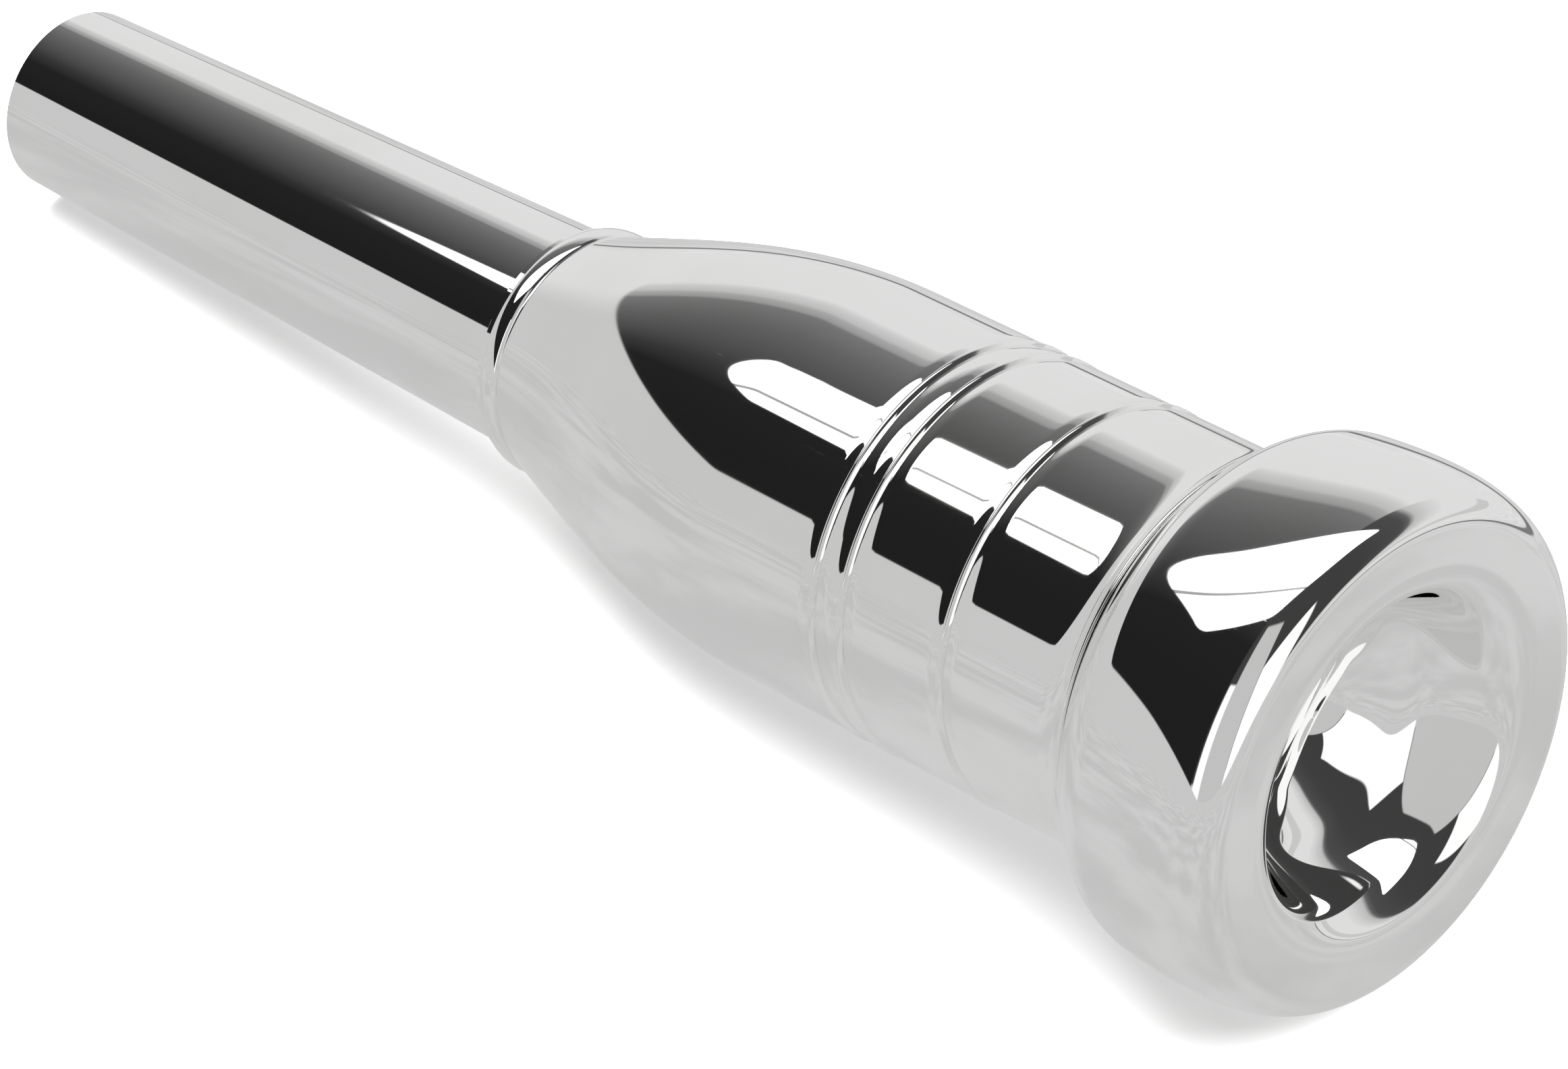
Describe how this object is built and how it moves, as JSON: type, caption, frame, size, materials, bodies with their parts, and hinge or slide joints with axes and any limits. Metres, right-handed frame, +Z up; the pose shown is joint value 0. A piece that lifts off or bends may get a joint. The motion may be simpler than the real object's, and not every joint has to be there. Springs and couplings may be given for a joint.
{
  "type": "trumpet mouthpiece with booster sleeve",
  "caption": "Turned, mirror-polished brass-instrument mouthpiece: rounded rim and cup, tapered shank, and a slip-on weighted sleeve held by rubber O-rings.",
  "frame": {"origin": "bottom centre of the bounding box: the object lies on its side on the plane z = 0, on the fullest part of the cup and the edge of the shank's end", "axes": "+Z up; the turning axis lies in the XZ plane, running from the shank's end at -X to the rim at +X and rising 5.55 degrees towards the rim; +Y is to the left of someone who looks from the shank towards the rim"},
  "size_m": [0.0906, 0.0258, 0.0259],
  "materials": {
    "mouthpiece_silver": "mirror-polished silver plate",
    "sleeve_silver": "mirror-polished silver plate",
    "ring_rubber": "smooth black rubber"
  },
  "bodies": {
    "sleeve": {"booster_sleeve": "sleeve_silver"},
    "o_rings": {"rear_o_ring": "ring_rubber", "front_o_ring": "ring_rubber"},
    "mouthpiece": {"mouthpiece": "mouthpiece_silver"}
  },
  "joints": [
    {"name": "sleeve_turn", "type": "hinge", "parent": "sleeve", "child": "o_rings", "pos_m": [0.01288, 0, 0.01035], "axis": [0.9953, 0, 0.0967], "continuous": true},
    {"name": "mouthpiece_slide", "type": "slide", "parent": "o_rings", "child": "mouthpiece", "axis": [0.9953, 0, 0.0967], "range_m": [0, 0.08]}
  ]
}
